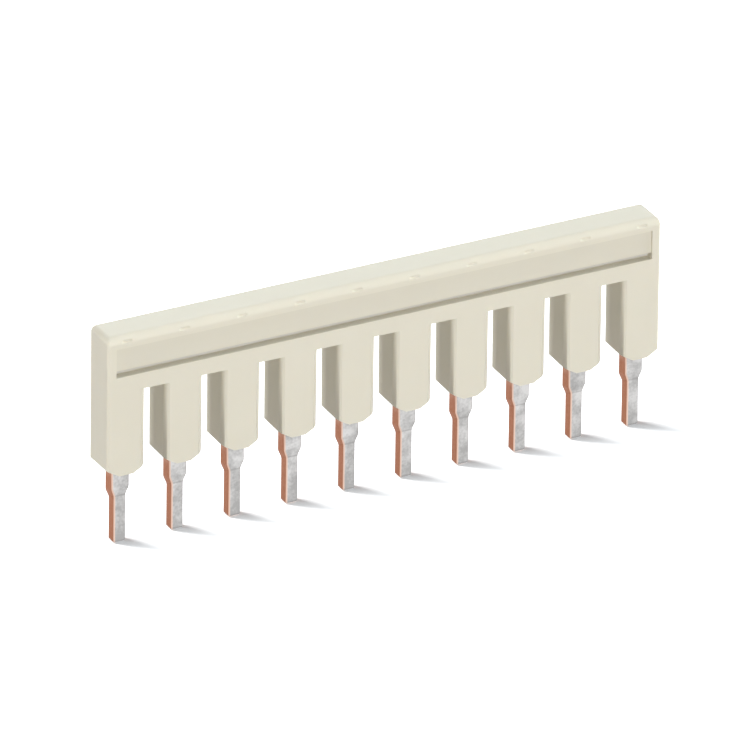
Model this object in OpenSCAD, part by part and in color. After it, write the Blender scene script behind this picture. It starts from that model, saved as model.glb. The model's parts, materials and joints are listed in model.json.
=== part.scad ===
// Terminal jumper: a stamped copper comb moulded into a one-piece insulating housing.
// X runs along the row of poles, the front looks towards -Y and +Z is up.
// The tips of the contact pins stand on Z = 0, and the row is centred on the origin.

/* [Poles] */
// Number of poles
poles = 10; // [2:1:20]
// Distance from one pole to the next
pitch = 5; // [4.6:0.1:8]

/* [Housing] */
// Thickness of the housing, front to back
housing_t = 3.1; // [2.8:0.1:4]
// Height of the rail that joins the legs
rail_h = 4.8; // [4.4:0.1:7]
// Rounding along the rail's top front edge
top_front_r = 0.65; // [0.3:0.05:0.9]
// Rounding along the rail's other top edges
top_edge_r = 0.35; // [0.1:0.05:0.6]

/* [Legs] */
// Width of one leg where it leaves the rail
leg_w = 3.3; // [3:0.1:4.2]
// Length of a leg below the rail
leg_h = 7.15; // [4:0.05:12]
// Angle at which each side of a leg leans in towards the foot
leg_draft = 0.2; // [0:0.1:1.5]
// Bevel on the upright edges of the legs and of the rail's ends
edge_bevel = 0.35; // [0.1:0.05:0.6]
// Distance from the side of a pin in to the flat under the foot
foot_inset = 0.175; // [0.05:0.025:0.3]
// Height of the sloping shoulders on both sides of the foot
shoulder_h = 0.6; // [0.2:0.05:1]

/* [Front of the rail] */
// Wall left standing at each end of the sunk panel
end_wall = 0.75; // [0.5:0.05:1.5]
// Distance from the rail's top down to the sunk panel
panel_drop = 1; // [0.95:0.05:1.4]
// Depth of the sunk panel
panel_depth = 0.2; // [0.1:0.05:0.4]
// Height of the slot under the panel
slot_h = 0.5; // [0.2:0.05:0.8]
// Plastic left between the bottom of the slot and the comb
slot_wall = 0.2; // [0.15:0.05:0.3]
// Height of the band between the slot and the legs
band_h = 1.35; // [0.8:0.05:1.8]
// Length of the scoop in the top front edge over each pole
scoop_l = 0.9; // [0.5:0.1:2]
// Radius of that scoop
scoop_r = 0.15; // [0.1:0.05:0.3]
// Angle round the top front rounding at which the scoop sits
scoop_angle = 70; // [40:5:75]

/* [Contact comb] */
// Thickness of the copper strip
comb_t = 1.2; // [0.9:0.05:1.3]
// Height of the bar that joins the pins inside the rail
bar_h = 3; // [1.5:0.1:3.4]
// Plastic under the bar, above the rail's underside
bar_lift = 0.6; // [0.3:0.05:0.9]
// Width of a pin's shank
shank_w = 1.55; // [1.3:0.05:1.7]
// Length of shank that shows below the leg
shank_h = 1.8; // [0.5:0.05:3]
// Length of the taper from shank to blade
taper_h = 0.65; // [0.2:0.05:1.5]
// Width of a pin's blade
blade_w = 1.05; // [0.7:0.05:1.25]
// Length of the blade
blade_h = 3.8; // [2:0.05:8]
// Depth to which each face of the blade is pressed thinner than the strip
coin_depth = 0.1; // [0:0.05:0.2]
// Bevel on the upright edges of the pins
pin_bevel = 0.1; // [0.05:0.01:0.2]

/* [Hidden] */
$fn = 48;
over = 1;
shank_z = blade_h + taper_h;
foot_z = shank_z + shank_h;
rail_z = foot_z + leg_h;
top_z = rail_z + rail_h;
row_l = (poles - 1) * pitch;
housing_l = row_l + leg_w;
front_y = -housing_t / 2;
foot_w = shank_w - 2 * foot_inset;
shoulder_z = foot_z + shoulder_h;
slot_z = rail_z + band_h;
slot_depth = (housing_t - comb_t) / 2 - slot_wall;
panel_l = housing_l - 2 * end_wall;
panel_top_z = top_z - panel_drop;
scoop_y = front_y + top_front_r * (1 - sin(scoop_angle));
scoop_z = top_z - top_front_r * (1 - cos(scoop_angle));
bar_z = rail_z + bar_lift;
bar_l = row_l + shank_w;
blade_t = comb_t - 2 * coin_depth;
plastic = [0.89, 0.86, 0.79];
copper = [0.74, 0.49, 0.37];

// Width of a leg at a given height
function leg_width(z) = leg_w - 2 * (rail_z - z) * tan(leg_draft);

// Distance from the upright axis to the bevel on the edges of a w by t section
function bevel_reach(w, t, bevel) = ((w + t) / 2 - bevel) / sqrt(2);

// Corners of a w by t section with its four edges bevelled
function bevelled_section(w, t, bevel) = [
    [bevel - w / 2, -t / 2],
    [w / 2 - bevel, -t / 2],
    [w / 2, bevel - t / 2],
    [w / 2, t / 2 - bevel],
    [w / 2 - bevel, t / 2],
    [bevel - w / 2, t / 2],
    [-w / 2, t / 2 - bevel],
    [-w / 2, bevel - t / 2]
];

// One copy of the children at every pole
module at_poles() {
    for (i = [0 : poles - 1])
        translate([i * pitch - row_l / 2, 0, 0])
            children();
}

// Extrusion along Y of an outline drawn in X and Z, centred on Y = 0
module along_y(depth) {
    rotate([90, 0, 0])
        linear_extrude(depth, center = true)
            children();
}

// Extrusion along X of an outline drawn in Y and Z, centred on X = 0
module along_x(length) {
    rotate([90, 0, 90])
        linear_extrude(length, center = true)
            children();
}

// What lies inside an outline seen along both diagonals: it bevels four upright edges
module within_diagonals(depth) {
    intersection() {
        rotate([0, 0, 45])
            along_y(depth)
                children();
        rotate([0, 0, -45])
            along_y(depth)
                children();
    }
}

// Rectangle standing on the X axis of the sketch, its two top corners rounded
module round_topped(w, h, left_r, right_r) {
    union() {
        translate([-w / 2, 0])
            square([w / 2, h - left_r]);
        square([w / 2, h - right_r]);
        translate([-w / 2 + left_r, 0])
            square([w - left_r - right_r, h]);
        translate([-w / 2 + left_r, h - left_r])
            circle(left_r);
        translate([w / 2 - right_r, h - right_r])
            circle(right_r);
    }
}

// The rail as a plain block: its section, its front view and its plan meet
module rail_block() {
    translate([0, 0, rail_z])
        intersection() {
            along_x(housing_l)
                round_topped(housing_t, rail_h, top_front_r, top_edge_r);
            along_y(housing_t + over)
                round_topped(housing_l, rail_h, top_edge_r, top_edge_r);
            linear_extrude(rail_h)
                polygon(bevelled_section(housing_l, housing_t, edge_bevel));
        }
}

// Outline that narrows from the rail down to the foot
module leg_outline(top_half, foot_half) {
    polygon([
        [-top_half, rail_z],
        [-foot_half, foot_z],
        [foot_half, foot_z],
        [top_half, rail_z]
    ]);
}

// One leg with bevelled upright edges, its foot narrowed by two sloping shoulders
module leg() {
    shoulder_x = leg_width(shoulder_z) / 2;
    intersection() {
        along_y(housing_t)
            polygon([
                [-leg_w / 2, rail_z],
                [-shoulder_x, shoulder_z],
                [-foot_w / 2, foot_z],
                [foot_w / 2, foot_z],
                [shoulder_x, shoulder_z],
                [leg_w / 2, rail_z]
            ]);
        within_diagonals(housing_t + leg_w)
            leg_outline(
                bevel_reach(leg_w, housing_t, edge_bevel),
                bevel_reach(leg_width(foot_z), housing_t, edge_bevel)
            );
    }
}

// Shallow sunk panel on the rail's front, and the deeper slot under it
module panel_and_slot() {
    translate([-panel_l / 2, front_y - over, slot_z])
        cube([panel_l, over + panel_depth, panel_top_z - slot_z]);
    translate([-panel_l / 2, front_y - over, slot_z])
        cube([panel_l, over + slot_depth, slot_h]);
}

// Scoop in the rounded top front edge
module scoop() {
    translate([0, scoop_y, scoop_z])
        rotate([0, 90, 0])
            cylinder(h = scoop_l, r = scoop_r, center = true);
}

// One shank, from the taper up into the bar
module shank() {
    translate([0, 0, shank_z])
        linear_extrude(bar_z + bar_h / 2 - shank_z)
            polygon(bevelled_section(shank_w, comb_t, pin_bevel));
}

// One blade
module blade() {
    linear_extrude(blade_h)
        polygon(bevelled_section(blade_w, blade_t, pin_bevel));
}

// Loft between the sections of blade and shank, narrowing in width and in thickness
module taper() {
    lower = bevelled_section(blade_w, blade_t, pin_bevel);
    upper = bevelled_section(shank_w, comb_t, pin_bevel);
    sides = len(lower);
    polyhedron(
        points = [
            for (p = lower) [p[0], p[1], blade_h],
            for (p = upper) [p[0], p[1], shank_z]
        ],
        faces = [
            [for (k = [0 : sides - 1]) k],
            [for (k = [sides - 1 : -1 : 0]) sides + k],
            for (k = [0 : sides - 1])
                [k, sides + k, sides + (k + 1) % sides, (k + 1) % sides]
        ]
    );
}

// What the moulding closes round: the bar inside the rail and the shanks under it
module bar_and_shanks() {
    translate([-bar_l / 2, -comb_t / 2, bar_z])
        cube([bar_l, comb_t, bar_h]);
    at_poles() shank();
}

// The moulding, closed round the comb
module housing() {
    color(plastic)
        difference() {
            union() {
                rail_block();
                at_poles() leg();
            }
            panel_and_slot();
            at_poles() scoop();
            bar_and_shanks();
        }
}

// The stamped strip: the bar with one stepped pin under each pole
module contact_comb() {
    color(copper)
        union() {
            bar_and_shanks();
            at_poles() taper();
            at_poles() blade();
        }
}

housing();
contact_comb();
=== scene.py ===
import json
import math

import bmesh
import bpy
from mathutils import Matrix, Vector


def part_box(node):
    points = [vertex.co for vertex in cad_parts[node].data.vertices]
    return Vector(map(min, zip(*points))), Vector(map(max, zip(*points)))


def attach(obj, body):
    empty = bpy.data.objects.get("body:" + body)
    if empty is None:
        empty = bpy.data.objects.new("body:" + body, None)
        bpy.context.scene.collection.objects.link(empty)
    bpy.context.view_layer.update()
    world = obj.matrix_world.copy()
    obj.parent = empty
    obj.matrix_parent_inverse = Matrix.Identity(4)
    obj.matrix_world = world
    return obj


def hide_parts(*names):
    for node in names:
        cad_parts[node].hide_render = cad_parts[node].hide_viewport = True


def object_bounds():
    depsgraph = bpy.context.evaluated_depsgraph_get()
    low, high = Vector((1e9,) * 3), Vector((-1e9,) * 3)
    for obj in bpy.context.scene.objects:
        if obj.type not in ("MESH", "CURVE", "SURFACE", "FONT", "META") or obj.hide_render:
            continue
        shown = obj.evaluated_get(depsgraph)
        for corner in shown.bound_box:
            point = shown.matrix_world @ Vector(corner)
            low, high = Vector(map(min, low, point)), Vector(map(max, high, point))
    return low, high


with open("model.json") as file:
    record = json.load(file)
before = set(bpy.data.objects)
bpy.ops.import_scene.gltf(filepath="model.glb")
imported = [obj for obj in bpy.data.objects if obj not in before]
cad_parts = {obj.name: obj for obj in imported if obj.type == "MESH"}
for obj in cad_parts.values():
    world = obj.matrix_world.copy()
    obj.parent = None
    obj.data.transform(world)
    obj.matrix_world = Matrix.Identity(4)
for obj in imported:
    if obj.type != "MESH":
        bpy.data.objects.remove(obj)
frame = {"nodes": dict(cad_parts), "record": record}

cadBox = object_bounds()
scene = bpy.context.scene
scene.view_settings.view_transform = "Standard"
mm = 0.001    # the frame is in metres, sizes below are in millimetres
slack = 0.01    # mm, when two places are compared
noiseRange = (0.3, 0.7)    # nearly all of a noise's levels lie between these
print("frame loaded with", sorted(frame["nodes"]))


def srgb(hexColour):
    channels = [int(hexColour[i:i + 2], 16) / 255 for i in (1, 3, 5)]
    linear = [c / 12.92 if c <= 0.04045 else ((c + 0.055) / 1.055) ** 2.4 for c in channels]
    return (*linear, 1.0)


def addNode(tree, kind, settings=None, inputs=None):
    node = tree.nodes.new(kind)
    for name, value in (settings or {}).items():
        setattr(node, name, value)
    for socket, value in (inputs or {}).items():
        if isinstance(value, bpy.types.NodeSocket):
            tree.links.new(value, node.inputs[socket])
        else:
            node.inputs[socket].default_value = value
    return node


def emptyMaterial(name):
    material = bpy.data.materials.new(name)
    material.use_nodes = True
    material.node_tree.nodes.clear()
    return material, material.node_tree


def newObject(name, data):    # of a mesh, a camera or a lamp
    made = bpy.data.objects.new(name, data)
    scene.collection.objects.link(made)
    return made


def loftMesh(name, rings):    # closed skin through rings of points in mm, turning left about the way ahead
    count = len(rings[0])
    faces = [range(count)[::-1], range(count * (len(rings) - 1), count * len(rings))]
    for first in range(0, count * (len(rings) - 1), count):
        for i in range(count):
            a, b = first + i, first + (i + 1) % count
            faces.append((a, b, b + count, a + count))
    mesh = bpy.data.meshes.new(name)
    mesh.from_pydata([Vector(point) * mm for ring in rings for point in ring], [], faces)
    return mesh


def finishedMesh(source, name):    # what the modifiers give, as a plain mesh
    depsgraph = bpy.context.evaluated_depsgraph_get()
    mesh = bpy.data.meshes.new_from_object(source.evaluated_get(depsgraph), depsgraph=depsgraph)
    mesh.name = name
    source.modifiers.clear()
    return mesh


def newTree(name, inputs):
    tree = bpy.data.node_groups.new(name, "GeometryNodeTree")
    for label, kind in inputs:
        tree.interface.new_socket(label, in_out="INPUT", socket_type="NodeSocket" + kind)
    tree.interface.new_socket("Result", in_out="OUTPUT", socket_type="NodeSocketGeometry")
    return tree, addNode(tree, "NodeGroupInput").outputs


def addTree(target, tree, values):    # a nodes modifier with its inputs set
    modifier = target.modifiers.new(tree.name, "NODES")
    modifier.node_group = tree
    for item in tree.interface.items_tree:
        if item.in_out == "INPUT" and item.name in values:
            modifier[item.identifier] = values[item.name]


def centredRow(tree, piece, count, pitch):    # copies of an object along X, about the middle
    steps = addNode(tree, "ShaderNodeMath", {"operation": "SUBTRACT"}, {0: count, 1: 1.0})
    half = addNode(tree, "ShaderNodeMath", {"operation": "MULTIPLY"}, {0: steps.outputs[0], 1: -0.5})
    first = addNode(tree, "ShaderNodeMath", {"operation": "MULTIPLY"}, {0: half.outputs[0], 1: pitch})
    start = addNode(tree, "ShaderNodeCombineXYZ", None, {"X": first.outputs[0]})
    stride = addNode(tree, "ShaderNodeCombineXYZ", None, {"X": pitch})
    places = addNode(tree, "GeometryNodeMeshLine", {"mode": "OFFSET"}, {
        "Count": count, "Start Location": start.outputs[0], "Offset": stride.outputs[0]})
    shape = addNode(tree, "GeometryNodeObjectInfo", None, {"Object": piece})
    row = addNode(tree, "GeometryNodeInstanceOnPoints", None, {
        "Points": places.outputs[0], "Instance": shape.outputs["Geometry"]})
    return addNode(tree, "GeometryNodeRealizeInstances", None, {"Geometry": row.outputs[0]}).outputs[0]


# Camera: the photograph is taken from the left of the front, from above, with a long lens
photoCamera = {
    "azimuth": 27.94,        # degrees to the left of the front
    "elevation": 26.72,      # degrees above the horizon
    "roll": 0.75,            # degrees that the picture leans clockwise
    "distance": 1600,        # mm
    "pixelsPerMm": 12.886,   # at the aim
    "imageWidth": 750,       # pixels
    "sensorWidth": 36,       # mm
    "aim": (-0.03, 0.09, 9.13),    # mm, the point in the middle of the picture
}


def addCamera(spec):
    turn, rise, roll = (math.radians(spec[key]) for key in ("azimuth", "elevation", "roll"))
    back = Vector((-math.sin(turn) * math.cos(rise), -math.cos(turn) * math.cos(rise), math.sin(rise)))
    right = Vector((math.cos(turn), -math.sin(turn), 0))
    up = back.cross(right)
    rolledRight = right * math.cos(roll) + up * math.sin(roll)
    rolledUp = up * math.cos(roll) - right * math.sin(roll)
    data = bpy.data.cameras.new("photoCamera")
    data.sensor_width = spec["sensorWidth"]
    data.lens = spec["pixelsPerMm"] * spec["distance"] * spec["sensorWidth"] / spec["imageWidth"]
    camera = newObject("photoCamera", data)
    camera.matrix_world = Matrix((rolledRight, rolledUp, back)).transposed().to_4x4()
    camera.location = (Vector(spec["aim"]) + back * spec["distance"]) * mm
    scene.camera = camera


addCamera(photoCamera)
print("camera set")

poleRow = next(m["dims"] for m in frame["record"]["mounts"] if m["name"] == "contact_pins")
poles, pitch = poleRow["count"], poleRow["spacing_x_mm"]


# Contact comb: copper strip, tinned on both faces before stamping, so its sheared edges are bare
combSpec = {
    "bladeWidth": 1.05,       # mm, as all sizes here
    "bladeThickness": 1.0,
    "bladeHeight": 3.8,
    "taperHeight": 0.65,      # from blade to shank
    "taperLean": 0.22,        # by which its bends are higher in front and lower at the back
    "barHeight": 3.0,
    "edgeRoll": 0.17,         # radius that the punch leaves along the edges
    "edgeSteps": 4,
    "drawnTin": 0.88,         # share of a right edge's roll over which the punch draws tin
    "softBend": 0.1,          # half height over which the taper's bends are eased
    "tipBreak": 0.04,         # the broken edge round the tip
    "tipShade": 0.55,       # painted shade: share by which the tin darkens towards the tip, standing in for the floor's shadow seen in the tin
    "rimHeight": 0.2,         # the tip's rim of painted contact shade
    "rimShade": 0.7,        # share of painted contact shade added on that rim
    "creaseShade": 0.6,     # share of painted shade in the crease above the blade
    "tin": "#D4D3D2",
    # darker tin, reached by the stains and by the painted shade
    "tinStainedAndShaded": "#A8A7A6",
    # the rolled edge: thin tin over copper, made lighter by a painted highlight
    "rolledEdgeAndSheen": "#E7C8B7",
    "copper": "#BC7D5D",
    "copperDark": "#A4694B",
    "mottleSize": 1.2,        # stains in the plating
    "spotSize": 0.22,         # single dull crystals
    "spotShare": 0.4,         # weight of the crystals beside the stains
    "stainRange": (0.54, 0.94),    # noise levels between which bright tin turns dull
    "shearWidth": 0.07,       # the shear's fine upright lines
    "shearLength": 1.6,
    "copperShadeShare": 0.5,     # share of the painted shade that darkens the copper too
    "rollRange": (0.03, 0.2),      # bareness between which tin gives way to the rolled edge with its painted highlight
    "shearRange": (0.6, 0.9),      # and the rolled edge to copper
    "roughness": (0.36, 0.5),
    "bumpStrength": 0.08,
    "bumpHeight": 0.02,
}


def tinnedCopper(spec):
    # copper strip, hot tinned and then stamped: dull mottled grey faces, orange sheared edges
    # with fine upright lines, a pale rolled edge between the two that is partly painted highlight,
    # and painted shade towards the tip, round its rim and in the crease above the blade
    material, tree = emptyMaterial("tinned_copper_strip")
    place = addNode(tree, "ShaderNodeTexCoord").outputs["Object"]
    bare = addNode(tree, "ShaderNodeAttribute", {"attribute_name": "bare"}).outputs["Fac"]
    paintedShade = addNode(tree, "ShaderNodeAttribute", {"attribute_name": "paintedShade"}).outputs["Fac"]
    mottle = addNode(tree, "ShaderNodeTexNoise", None, {
        "Vector": place, "Scale": 1 / (spec["mottleSize"] * mm), "Detail": 3.0})
    spots = addNode(tree, "ShaderNodeTexNoise", None, {
        "Vector": place, "Scale": 1 / (spec["spotSize"] * mm), "Detail": 1.0})
    both = addNode(tree, "ShaderNodeMath", {"operation": "MULTIPLY_ADD"}, {
        0: spots.outputs[0], 1: spec["spotShare"], 2: mottle.outputs[0]})
    stain = addNode(tree, "ShaderNodeMapRange", None, {
        "Value": both.outputs[0], "From Min": spec["stainRange"][0], "From Max": spec["stainRange"][1]})
    # the stains, plus the painted shade towards the tip, round its rim and in the crease
    stainAndShade = addNode(tree, "ShaderNodeMath", {"operation": "ADD"}, {0: stain.outputs[0], 1: paintedShade})
    tin = addNode(tree, "ShaderNodeMix", {"data_type": "RGBA"}, {    # sockets 6 and 7 are the colours
        0: stainAndShade.outputs[0], 6: srgb(spec["tin"]), 7: srgb(spec["tinStainedAndShaded"])})
    perWidth = 1 / (spec["shearWidth"] * mm)
    perLength = 1 / (spec["shearLength"] * mm)
    along = addNode(tree, "ShaderNodeMapping", None, {
        "Vector": place, "Scale": (perWidth, perWidth, perLength)})
    lines = addNode(tree, "ShaderNodeTexNoise", None, {
        "Vector": along.outputs[0], "Scale": 1.0, "Detail": 2.0})
    darker = addNode(tree, "ShaderNodeMath", {"operation": "MULTIPLY_ADD"}, {
        0: paintedShade, 1: spec["copperShadeShare"], 2: lines.outputs[0]})
    copper = addNode(tree, "ShaderNodeMix", {"data_type": "RGBA"}, {
        0: darker.outputs[0], 6: srgb(spec["copper"]), 7: srgb(spec["copperDark"])})
    onRoll = addNode(tree, "ShaderNodeMapRange", None, {
        "Value": bare, "From Min": spec["rollRange"][0], "From Max": spec["rollRange"][1]})
    onShear = addNode(tree, "ShaderNodeMapRange", None, {
        "Value": bare, "From Min": spec["shearRange"][0], "From Max": spec["shearRange"][1]})
    # pale rolled edge, partly painted highlight
    rolledAndSheen = addNode(tree, "ShaderNodeMix", {"data_type": "RGBA"}, {
        0: onRoll.outputs[0], 6: tin.outputs[2], 7: srgb(spec["rolledEdgeAndSheen"])})
    colour = addNode(tree, "ShaderNodeMix", {"data_type": "RGBA"}, {
        0: onShear.outputs[0], 6: rolledAndSheen.outputs[2], 7: copper.outputs[2]})
    rough = addNode(tree, "ShaderNodeMapRange", None, {
        "Value": spots.outputs[0], "From Min": noiseRange[0], "From Max": noiseRange[1],
        "To Min": spec["roughness"][0], "To Max": spec["roughness"][1]})
    bump = addNode(tree, "ShaderNodeBump", None, {
        "Strength": spec["bumpStrength"], "Distance": spec["bumpHeight"] * mm, "Height": spots.outputs[0]})
    shader = addNode(tree, "ShaderNodeBsdfPrincipled", None, {
        "Base Color": colour.outputs[2], "Metallic": 1.0, "Roughness": rough.outputs[0],
        "Normal": bump.outputs[0]})
    addNode(tree, "ShaderNodeOutputMaterial", None, {"Surface": shader.outputs[0]})
    return material


def pinMesh(spec, shankWidth, shankThickness, topHeight):
    bladeTop = spec["bladeHeight"]
    shankBottom = bladeTop + spec["taperHeight"]
    easing = [spec["softBend"] * step / 2 for step in (-2, -1, 0, 1, 2)]

    def sectionAt(height):    # width and thickness, eased over the two bends
        shares = [min(max((height + d - bladeTop) / spec["taperHeight"], 0), 1) for d in easing]
        share = sum(shares) / len(shares)
        width = spec["bladeWidth"] + share * (shankWidth - spec["bladeWidth"])
        thickness = spec["bladeThickness"] + share * (shankThickness - spec["bladeThickness"])
        return width, thickness

    def paintedShadeAt(height):    # painted shade towards the tip, round its rim and in the crease above the blade
        tip = spec["tipShade"] * max(0, 1 - height / bladeTop) ** 2
        rim = spec["rimShade"] * max(0, 1 - height / spec["rimHeight"])
        crease = spec["creaseShade"] * max(0, 1 - abs(height - bladeTop) / spec["softBend"])
        return tip + rim + crease

    heights = [0, spec["tipBreak"], spec["rimHeight"], bladeTop / 2]
    heights += [bend + d for bend in (bladeTop, shankBottom) for d in easing]
    heights += [topHeight]
    rings = []
    bareness = []
    paintedShading = []
    for height in heights:
        width, thickness = sectionAt(height)
        inset = spec["tipBreak"] if height == 0 else 0
        lean = spec["taperLean"] if spec["rimHeight"] < height < topHeight else 0
        ring = []
        for corner, (sideX, sideY) in enumerate(((1, -1), (1, 1), (-1, 1), (-1, -1))):
            for step in range(spec["edgeSteps"] + 1):
                angle = math.radians(90 * (corner - 1 + step / spec["edgeSteps"]))
                radius = spec["edgeRoll"]
                x = sideX * (width / 2 - radius - inset) + radius * math.cos(angle)
                y = sideY * (thickness / 2 - radius - inset) + radius * math.sin(angle)
                ring.append((x, y, height - lean * 2 * y / thickness))
                drawn = spec["drawnTin"] if sideX > 0 else 0
                bareness.append(max(0, (math.cos(angle) ** 2 - drawn) / (1 - drawn)))
                paintedShading.append(paintedShadeAt(height))
        rings.append(ring)
    mesh = loftMesh("pin", rings)
    mesh.attributes.new("bare", "FLOAT", "POINT").data.foreach_set("value", bareness)
    mesh.attributes.new("paintedShade", "FLOAT", "POINT").data.foreach_set("value", paintedShading)
    mesh.shade_smooth()
    return mesh


def combTree():
    tree, given = newTree("pinsOnBar", (
        ("Pin", "Object"), ("Poles", "Int"), ("Pitch", "Float"), ("Bar size", "Vector"),
        ("Bar middle", "Vector"), ("Finish", "Material")))
    pins = centredRow(tree, given["Pin"], given["Poles"], given["Pitch"])
    block = addNode(tree, "GeometryNodeMeshCube", None, {"Size": given["Bar size"]})
    bar = addNode(tree, "GeometryNodeTransform", None, {
        "Geometry": block.outputs[0], "Translation": given["Bar middle"]})
    whole = addNode(tree, "GeometryNodeMeshBoolean", {"operation": "UNION", "solver": "EXACT"}, {
        "Mesh 2": bar.outputs[0]})
    tree.links.new(pins, whole.inputs["Mesh 2"])
    dressed = addNode(tree, "GeometryNodeSetMaterial", None, {
        "Geometry": whole.outputs[0], "Material": given["Finish"]})
    addNode(tree, "NodeGroupOutput", None, {"Result": dressed.outputs[0]})
    return tree


def buildComb(spec):
    low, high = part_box("contact_comb")
    shankWidth = (high.x - low.x) / mm - (poles - 1) * pitch
    shankThickness = (high.y - low.y) / mm
    barMiddle = high.z / mm - spec["barHeight"] / 2
    pin = newObject("pin", pinMesh(spec, shankWidth, shankThickness, barMiddle))
    comb = newObject("comb_base", bpy.data.meshes.new("comb_base"))
    addTree(comb, combTree(), {
        "Pin": pin,
        "Poles": poles,
        "Pitch": pitch * mm,
        "Bar size": Vector((high.x - low.x, high.y - low.y, spec["barHeight"] * mm)),
        "Bar middle": Vector((0, 0, barMiddle * mm)),
        "Finish": tinnedCopper(spec),
    })
    comb.modifiers.new("faceNormals", "WEIGHTED_NORMAL")
    strip = newObject("contact_strip", finishedMesh(comb, "contact_strip"))
    for helper in (comb, pin):
        bpy.data.objects.remove(helper)
    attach(strip, "root")
    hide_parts("contact_comb")
    print("comb stamped:", len(strip.data.polygons), "faces")
    return strip


contactStrip = buildComb(combSpec)


# Housing: polyamide moulded round the comb, one block from which the tool's steel takes the openings
housingSpec = {
    "railHeight": 4.8,        # mm, as all sizes here
    "frontRounding": 0.65,    # along the top front edge
    "topRounding": 0.35,      # along the top back edge
    "endTopRounding": 0.5,    # along the top edges of the two ends
    "endRounding": 0.25,      # on the upright edges of the two ends
    "legRounding": 0.45,      # on the upright front edges between the legs
    "legBackRounding": 0.1,   # on those at the back
    "rimRounding": 0.08,      # on all other edges that stand out
    "cornerRounding": 0.05,   # in corners that go in
    "rimLength": 0.3,         # shorter edges stay sharp
    "rimAngle": 26,           # degrees, and so do flatter ones
    "sharpAngle": 35,         # degrees, past which the shading breaks at an edge
    "roundSteps": 8,
    "rimSteps": 3,
    "blockSteps": 16,         # finer, as the scoops cut into the long rounding
    "flareSweep": 80,         # degrees, so that a leg's rounding leaves its face at a slight angle
    "cutterReach": 1,         # by which what cuts stands out past the block
    "legDraft": 0.2,          # degrees
    "backTaper": 0.15,        # by which each side of a leg is nearer its middle at the back
    "footWidth": 1.2,
    "shoulderHeight": 0.6,
    "endWall": 0.75,          # beside the sunk panel
    "panelDrop": 1.0,
    "panelDepth": 0.2,
    "bandHeight": 1.35,       # between the slot and the legs
    "slotHeight": 0.5,
    "slotDepth": 0.75,
    "scoopLength": 0.9,
    "scoopRadius": 0.15,
    "scoopAngle": 70,         # degrees round the top front edge
    "scoopLift": 0.05,        # from the surface to the scoop's axis
    "scoopMargin": 0.1,       # from a scoop's ends to the loops beside it
    "colour": "#EAE4D2",
    "shade": "#E6E0CE",
    "panelShade": "#F8F8F8",   # painted shade in the sunk panel takes a little off the colour
    "slotShade": "#E9EBF4",    # and painted shade in the slot takes more, and cools it
    "cloudSize": 3.0,         # slow drift of the colour
    "grainSize": 0.16,        # the spark-eroded grain, drawn three times as coarse so that it shows
    "roughness": (0.40, 0.52),
    "bumpStrength": 0.06,
    "bumpHeight": 0.02,
    "ior": 1.53,
    "sinkShare": 0.12,        # share of the light that sinks in
    "sinkDepth": 0.4,
    "sinkByColour": (1.0, 0.8, 0.55),    # red sinks deepest
}


def mouldedPolyamide(spec):
    # polyamide, injection moulded: an even warm beige with a soft satin sheen
    # and light that sinks in a little; painted shade darkens the sunk panel and the slot
    material, tree = emptyMaterial("moulded_polyamide")
    place = addNode(tree, "ShaderNodeTexCoord").outputs["Object"]
    cloud = addNode(tree, "ShaderNodeTexNoise", None, {
        "Vector": place, "Scale": 1 / (spec["cloudSize"] * mm), "Detail": 3.0})
    tone = addNode(tree, "ShaderNodeMix", {"data_type": "RGBA"}, {    # sockets 6 and 7 are the colours
        0: cloud.outputs[0], 6: srgb(spec["colour"]), 7: srgb(spec["shade"])})
    # painted shade of the sunk panel and the slot, multiplied into the colour
    recessShade = addNode(tree, "ShaderNodeAttribute", {"attribute_name": "recessShade"}).outputs["Color"]
    colour = addNode(tree, "ShaderNodeMix", {"data_type": "RGBA", "blend_type": "MULTIPLY"}, {
        0: 1.0, 6: tone.outputs[2], 7: recessShade})
    grain = addNode(tree, "ShaderNodeTexNoise", None, {
        "Vector": place, "Scale": 1 / (spec["grainSize"] * mm), "Detail": 2.0})
    rough = addNode(tree, "ShaderNodeMapRange", None, {
        "Value": grain.outputs[0], "From Min": noiseRange[0], "From Max": noiseRange[1],
        "To Min": spec["roughness"][0], "To Max": spec["roughness"][1]})
    bump = addNode(tree, "ShaderNodeBump", None, {
        "Strength": spec["bumpStrength"], "Distance": spec["bumpHeight"] * mm, "Height": grain.outputs[0]})
    shader = addNode(tree, "ShaderNodeBsdfPrincipled", None, {
        "Base Color": colour.outputs[2], "Roughness": rough.outputs[0], "Normal": bump.outputs[0],
        "IOR": spec["ior"], "Subsurface Weight": spec["sinkShare"],
        "Subsurface Scale": spec["sinkDepth"] * mm, "Subsurface Radius": spec["sinkByColour"]})
    addNode(tree, "ShaderNodeOutputMaterial", None, {"Surface": shader.outputs[0]})
    return material


def blockMesh(spec, low, high):    # the outside form, its edges weighted for their roundings
    middles = [pitch * (i - (poles - 1) / 2) for i in range(poles)]
    beside = spec["scoopLength"] / 2 + spec["scoopMargin"]    # loops that keep the scoops' cuts short
    stations = [low.x, *(x + d for x in middles for d in (-beside, beside)), high.x]
    section = ((low.y, low.z), (high.y, low.z), (high.y, high.z), (low.y, high.z))
    mesh = loftMesh("housing_block", [[(x, y, z) for y, z in section] for x in stations])
    bm = bmesh.new()
    bm.from_mesh(mesh)
    weight = bm.edges.layers.float.new("bevel_weight_edge")
    for edge in bm.edges:
        a, b = (v.co / mm for v in edge.verts)
        onTop = min(a.z, b.z) > (low.z + high.z) / 2
        alongRow = abs(a.x - b.x) > slack
        if alongRow and onTop:
            rounding = spec["frontRounding"] if a.y < 0 else spec["topRounding"]
        elif alongRow or abs(a.x) < high.x - slack or max(a.z, b.z) < high.z - slack:
            rounding = 0    # the bottom, which is cut into feet, and the loops
        else:
            rounding = spec["endTopRounding"] if onTop else spec["endRounding"]
        edge[weight] = rounding / spec["frontRounding"]
    bm.to_mesh(mesh)
    bm.free()
    return mesh


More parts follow.
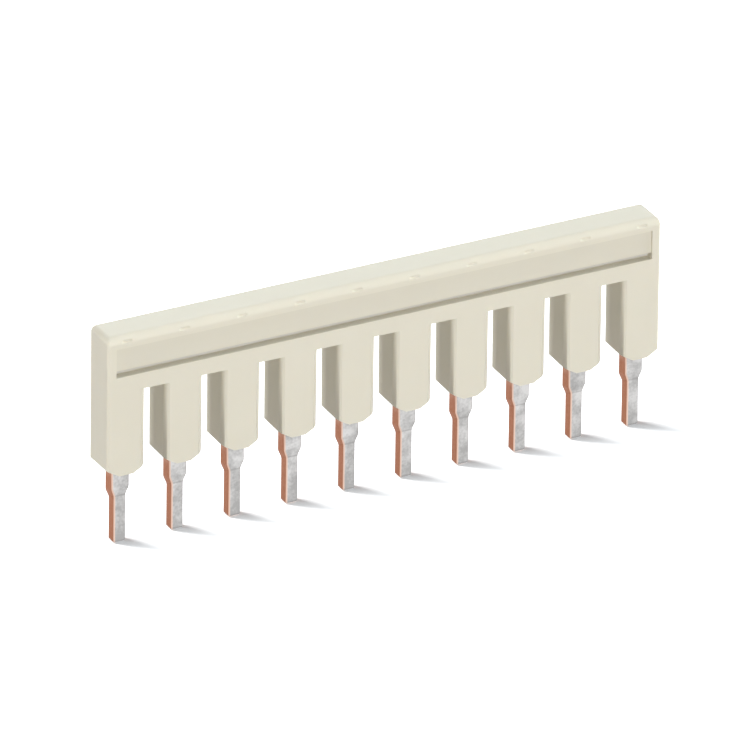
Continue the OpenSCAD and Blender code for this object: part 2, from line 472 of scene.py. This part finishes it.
def gapMesh(spec, halfGap, halfDepth, bottom, top):    # what parts two legs, with the legs' rounded edges
    sweep = math.radians(spec["flareSweep"])
    arcs = [sweep * i / spec["roundSteps"] for i in range(spec["roundSteps"] + 1)]
    run = 1 / 3    # mm, straight on from the end of the rounding

    def flare(start, radius):    # from the gap's wall out past the leg's face
        edge = halfDepth - radius * math.sin(sweep)
        points = [(start + radius * (1 - math.cos(a)), edge + radius * math.sin(a)) for a in arcs]
        x, y = points[-1]
        x += math.sin(sweep) * run
        return points + [(x, y + math.cos(sweep) * run), (x, halfDepth + spec["cutterReach"])]

    def ringAt(height):
        gap = halfGap + (top - height) * math.tan(math.radians(spec["legDraft"]))
        front = flare(gap, spec["legRounding"])
        back = flare(gap + spec["backTaper"], spec["legBackRounding"])
        side = [(x, -y) for x, y in front[::-1]] + back
        return [(x, y, height) for x, y in side + [(-x, y) for x, y in side[::-1]]]

    return loftMesh("gap", [ringAt(bottom), ringAt(top)])


def shoulderMesh(spec, halfLeg, halfDepth, foot):    # the wedge between two feet
    slope = spec["shoulderHeight"] / (halfLeg - spec["footWidth"] / 2)
    halfBase = pitch / 2 - spec["footWidth"] / 2
    below = 0.2    # mm, the wedge starts under the feet
    outline = [(0, foot + slope * halfBase), (halfBase + below / slope, foot - below),
               (-halfBase - below / slope, foot - below)]
    reach = halfDepth + spec["cutterReach"]
    return loftMesh("shoulder", [[(x, y, z) for x, z in outline] for y in (-reach, reach)])


def recessMesh(spec, halfLength, front, slotBottom, panelTop):    # sunk panel with the slot under it
    panel, slot = front + spec["panelDepth"], front + spec["slotDepth"]
    slotTop = slotBottom + spec["slotHeight"]
    outside = front - spec["cutterReach"]
    profile = [(outside, slotBottom), (slot, slotBottom), (slot, slotTop), (panel, slotTop),
               (panel, panelTop), (outside, panelTop)]
    return loftMesh("recess", [[(x, y, z) for y, z in profile] for x in (-halfLength, halfLength)])


def scoopMesh(spec, front, top):    # a groove across the top front edge, shallower towards its ends
    angle = math.radians(spec["scoopAngle"])
    reach = spec["frontRounding"] + spec["scoopLift"]
    y = front + spec["frontRounding"] - reach * math.sin(angle)
    z = top - spec["frontRounding"] + reach * math.cos(angle)
    half = spec["scoopLength"] / 2
    turns = [math.pi * i / spec["roundSteps"] for i in range(2 * spec["roundSteps"])]
    rings = []
    stations = (-0.99, -0.9, -0.7, -0.4, 0, 0.4, 0.7, 0.9, 0.99)    # shares of the half length
    for share in stations:
        radius = spec["scoopRadius"] * math.sqrt(1 - abs(share) ** 3)
        rings.append([(share * half, y + radius * math.cos(t), z + radius * math.sin(t)) for t in turns])
    return loftMesh("scoop", rings)


def cutTree():
    tree, given = newTree("rowOfCuts", (
        ("Body", "Geometry"), ("Cutter", "Object"), ("Count", "Int"), ("Pitch", "Float"),
        ("Finish", "Material")))
    row = centredRow(tree, given["Cutter"], given["Count"], given["Pitch"])
    cut = addNode(tree, "GeometryNodeMeshBoolean", {"operation": "DIFFERENCE", "solver": "EXACT"}, {
        "Mesh 1": given["Body"], "Mesh 2": row})
    dressed = addNode(tree, "GeometryNodeSetMaterial", None, {
        "Geometry": cut.outputs[0], "Material": given["Finish"]})
    addNode(tree, "NodeGroupOutput", None, {"Result": dressed.outputs[0]})
    return tree


def weightRims(mesh, spec):    # long sharp edges get a small rounding, inside corners a smaller one
    bm = bmesh.new()
    bm.from_mesh(mesh)
    layers = bm.edges.layers.float
    weight = layers.get("bevel_weight_edge") or layers.new("bevel_weight_edge")
    inside = spec["cornerRounding"] / spec["rimRounding"]
    for edge in bm.edges:
        edge[weight] = 0
        if edge.is_manifold and edge.calc_length() > spec["rimLength"] * mm:
            bend = edge.calc_face_angle_signed()
            if abs(bend) > math.radians(spec["rimAngle"]):
                edge[weight] = 1.0 if bend > 0 else inside
    bm.to_mesh(mesh)
    bm.free()


def shadeRecess(mesh, spec, front, slotBottom):    # painted shade on each face of the panel and of the slot, white elsewhere
    slotTop = slotBottom + spec["slotHeight"]
    panel, slot = front + spec["panelDepth"], front + spec["slotDepth"]
    recessShades = []
    for face in mesh.polygons:
        y, z = (face.center / mm).yz
        inSlot = slotBottom - slack < z < slotTop + slack
        recessShade = "#FFFFFF"
        if inSlot and panel + slack < y < slot + slack:
            recessShade = spec["slotShade"]
        elif abs(y - panel) < slack and z > slotTop:
            recessShade = spec["panelShade"]
        recessShades += srgb(recessShade)
    mesh.attributes.new("recessShade", "FLOAT_COLOR", "FACE").data.foreach_set("color", recessShades)


def addBevel(target, width, steps):
    bevel = target.modifiers.new("rounding", "BEVEL")
    bevel.limit_method = "WEIGHT"
    bevel.width = width * mm
    bevel.segments = steps


def buildHousing(spec, strip):
    low, high = (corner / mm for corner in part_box("housing"))
    halfDepth = high.y
    railBottom = high.z - spec["railHeight"]
    halfLeg = high.x - (poles - 1) * pitch / 2
    slotBottom = railBottom + spec["bandHeight"]
    finish = mouldedPolyamide(spec)
    belowFeet = low.z - spec["cutterReach"]
    cutters = {
        "gap": newObject("gap", gapMesh(spec, pitch / 2 - halfLeg, halfDepth, belowFeet, railBottom)),
        "shoulder": newObject("shoulder", shoulderMesh(spec, halfLeg, halfDepth, low.z)),
        "recess": newObject("recess", recessMesh(
            spec, high.x - spec["endWall"], low.y, slotBottom, high.z - spec["panelDrop"])),
        "scoop": newObject("scoop", scoopMesh(spec, low.y, high.z)),
    }
    counts = {"gap": poles - 1, "shoulder": poles + 1, "recess": 1, "scoop": poles}
    tree = cutTree()

    def cutRow(target, name):
        addTree(target, tree, {
            "Cutter": cutters[name], "Count": counts[name], "Pitch": pitch * mm, "Finish": finish})

    block = newObject("housing_block", blockMesh(spec, low, high))
    addBevel(block, spec["frontRounding"], spec["blockSteps"])
    for name in ("gap", "shoulder", "recess"):
        cutRow(block, name)
    opened = newObject("housing_opened", finishedMesh(block, "housing_opened"))
    weightRims(opened.data, spec)
    addBevel(opened, spec["rimRounding"], spec["rimSteps"])
    cutRow(opened, "scoop")
    core = opened.modifiers.new("core", "BOOLEAN")
    core.object = strip
    core.solver = "EXACT"
    moulding = newObject("housing_moulding", finishedMesh(opened, "housing_moulding"))
    moulding.data.shade_smooth()
    moulding.data.set_sharp_from_angle(angle=math.radians(spec["sharpAngle"]))
    normals = moulding.modifiers.new("faceNormals", "WEIGHTED_NORMAL")
    normals.keep_sharp = True
    moulding.data = finishedMesh(moulding, "housing_moulding")
    moulding.data.materials.clear()
    moulding.data.materials.append(finish)
    shadeRecess(moulding.data, spec, low.y, slotBottom)
    for helper in (block, opened, *cutters.values()):
        bpy.data.objects.remove(helper)
    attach(moulding, "root")
    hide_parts("housing")
    print("housing moulded:", len(moulding.data.polygons), "faces")
    return moulding


housingMoulding = buildHousing(housingSpec, contactStrip)


# Stage: a white paper floor and soft boxes
stageSpec = {
    "floorSize": 3000,             # mm, as all sizes here
    "floorDrop": 0.1,              # below the pin tips
    "floorColour": "#E6E6E6",
    "shadowFade": (0.4, 3.0),      # from the row, between which the shadows thin out
    "shadowGlow": (0.35, 0.88),    # the floor's own light at those two
    "farFade": (10, 100),          # from the row, between which the floor turns plain white
    "farGlow": 0.22,               # what that adds
    "shadowColour": "#F6FBFF",     # cool, against the warm light that comes back from the part
    "floorBounce": 0.5,            # level at which it lights the part
    "worldLight": 0.1,
    "softBoxes": {                 # place, aim, size, power in watts, colour
        "front": ((0, -446, 75), (0, 0, 12), 220, 1.38, "#FFFFFF"),
        "overhead": ((0, 8, 462), (0, 0, 12), 220, 0.34, "#F4FCFF"),
        "left": ((-393, 55, 223), (0, 0, 12), 220, 0.98, "#FFFFFF"),
        "right": ((768, -135, 462), (0, 0, 12), 440, 4.4, "#F4FCFF"),
        "backRight": ((188, 354, 216), (0, 0, 12), 220, 0.32, "#F4FCFF"),
        "back": ((0, 446, 75), (0, 0, 12), 220, 0.35, "#FFFFFF"),
    },
    # this one lights the floor alone and gives it the pins' shadows
    "floorLamp": ((-190, 215, 290), (0, 0, 0), 120, 2.3, "#FFFFFF"),
}


def paperFloor(spec, halfRow):
    # matt white paper: the camera sees its shadows, the part sees an even sheet
    material, tree = emptyMaterial("white_paper")
    path = addNode(tree, "ShaderNodeLightPath").outputs
    mirrored = addNode(tree, "ShaderNodeMath", {"operation": "MAXIMUM"}, {
        0: path["Is Glossy Ray"], 1: path["Is Transmission Ray"]})
    level = addNode(tree, "ShaderNodeMapRange", None, {
        "Value": mirrored.outputs[0], "To Min": spec["floorBounce"], "To Max": 1.0})
    paper = addNode(tree, "ShaderNodeBsdfDiffuse", None, {"Color": srgb(spec["floorColour"])})
    place = addNode(tree, "ShaderNodeTexCoord").outputs["Object"]
    onBothSides = addNode(tree, "ShaderNodeVectorMath", {"operation": "ABSOLUTE"}, {0: place})
    across = addNode(tree, "ShaderNodeSeparateXYZ", None, {"Vector": onBothSides.outputs[0]}).outputs
    pastEnd = addNode(tree, "ShaderNodeMath", {"operation": "SUBTRACT"}, {0: across["X"], 1: halfRow})
    away = addNode(tree, "ShaderNodeMath", {"operation": "MAXIMUM"}, {
        0: across["Y"], 1: pastEnd.outputs[0]})
    near = addNode(tree, "ShaderNodeMapRange", None, {
        "Value": away.outputs[0],
        "From Min": spec["shadowFade"][0] * mm, "From Max": spec["shadowFade"][1] * mm,
        "To Min": spec["shadowGlow"][0], "To Max": spec["shadowGlow"][1]})
    far = addNode(tree, "ShaderNodeMapRange", None, {
        "Value": away.outputs[0],
        "From Min": spec["farFade"][0] * mm, "From Max": spec["farFade"][1] * mm,
        "To Max": spec["farGlow"]})
    fade = addNode(tree, "ShaderNodeMath", {"operation": "ADD"}, {0: near.outputs[0], 1: far.outputs[0]})
    glow = addNode(tree, "ShaderNodeEmission", None, {
        "Color": srgb(spec["shadowColour"]), "Strength": fade.outputs[0]})
    seen = addNode(tree, "ShaderNodeAddShader", None, {0: paper.outputs[0], 1: glow.outputs[0]})
    sheet = addNode(tree, "ShaderNodeEmission", None, {"Strength": level.outputs[0]})
    mixed = addNode(tree, "ShaderNodeMixShader", None, {
        0: path["Is Camera Ray"], 1: sheet.outputs[0], 2: seen.outputs[0]})
    addNode(tree, "ShaderNodeOutputMaterial", None, {"Surface": mixed.outputs[0]})
    return material


def addSoftBox(name, place, aim, size, watts, colour):
    data = bpy.data.lights.new(name, "AREA")
    data.size = size * mm
    data.energy = watts
    data.color = srgb(colour)[:3]
    lamp = newObject(name, data)
    lamp.location = Vector(place) * mm
    lamp.rotation_euler = (Vector(aim) - Vector(place)).to_track_quat("-Z", "Y").to_euler()
    return lamp


def addWorld(spec):
    world = bpy.data.worlds.new("whiteRoom")
    world.use_nodes = True
    tree = world.node_tree
    tree.nodes.clear()
    path = addNode(tree, "ShaderNodeLightPath").outputs
    seen = addNode(tree, "ShaderNodeMath", {"operation": "MAXIMUM"}, {
        0: path["Is Camera Ray"], 1: path["Is Glossy Ray"]})
    shown = addNode(tree, "ShaderNodeMath", {"operation": "MAXIMUM"}, {
        0: seen.outputs[0], 1: path["Is Transmission Ray"]})
    level = addNode(tree, "ShaderNodeMapRange", None, {
        "Value": shown.outputs[0], "To Min": spec["worldLight"], "To Max": 1.0})
    sky = addNode(tree, "ShaderNodeBackground", None, {"Strength": level.outputs[0]})
    addNode(tree, "ShaderNodeOutputWorld", None, {"Surface": sky.outputs[0]})
    scene.world = world


def linkedCollection(name, members):
    collection = bpy.data.collections.new(name)
    for member in members:
        collection.objects.link(member)
    return collection


def buildStage(spec, housing, strip):
    half = spec["floorSize"] / 2 * mm
    mesh = bpy.data.meshes.new("floor")
    height = -spec["floorDrop"] * mm
    corners = ((-1, -1), (1, -1), (1, 1), (-1, 1))
    mesh.from_pydata([(x * half, y * half, height) for x, y in corners], [], [(0, 1, 2, 3)])
    mesh.materials.append(paperFloor(spec, cadBox[1][0]))
    floor = newObject("floor", mesh)
    part = linkedCollection("litBySoftBoxes", (housing, strip))
    for name, settings in spec["softBoxes"].items():
        addSoftBox(name, *settings).light_linking.receiver_collection = part
    floorLamp = addSoftBox("floorLamp", *spec["floorLamp"])
    floorLamp.light_linking.receiver_collection = linkedCollection("litByFloorLamp", (floor,))
    floorLamp.light_linking.blocker_collection = linkedCollection("shadowsOnFloor", (strip,))
    addWorld(spec)
    print("stage lit by", len(spec["softBoxes"]) + 1, "soft boxes")


buildStage(stageSpec, housingMoulding, contactStrip)
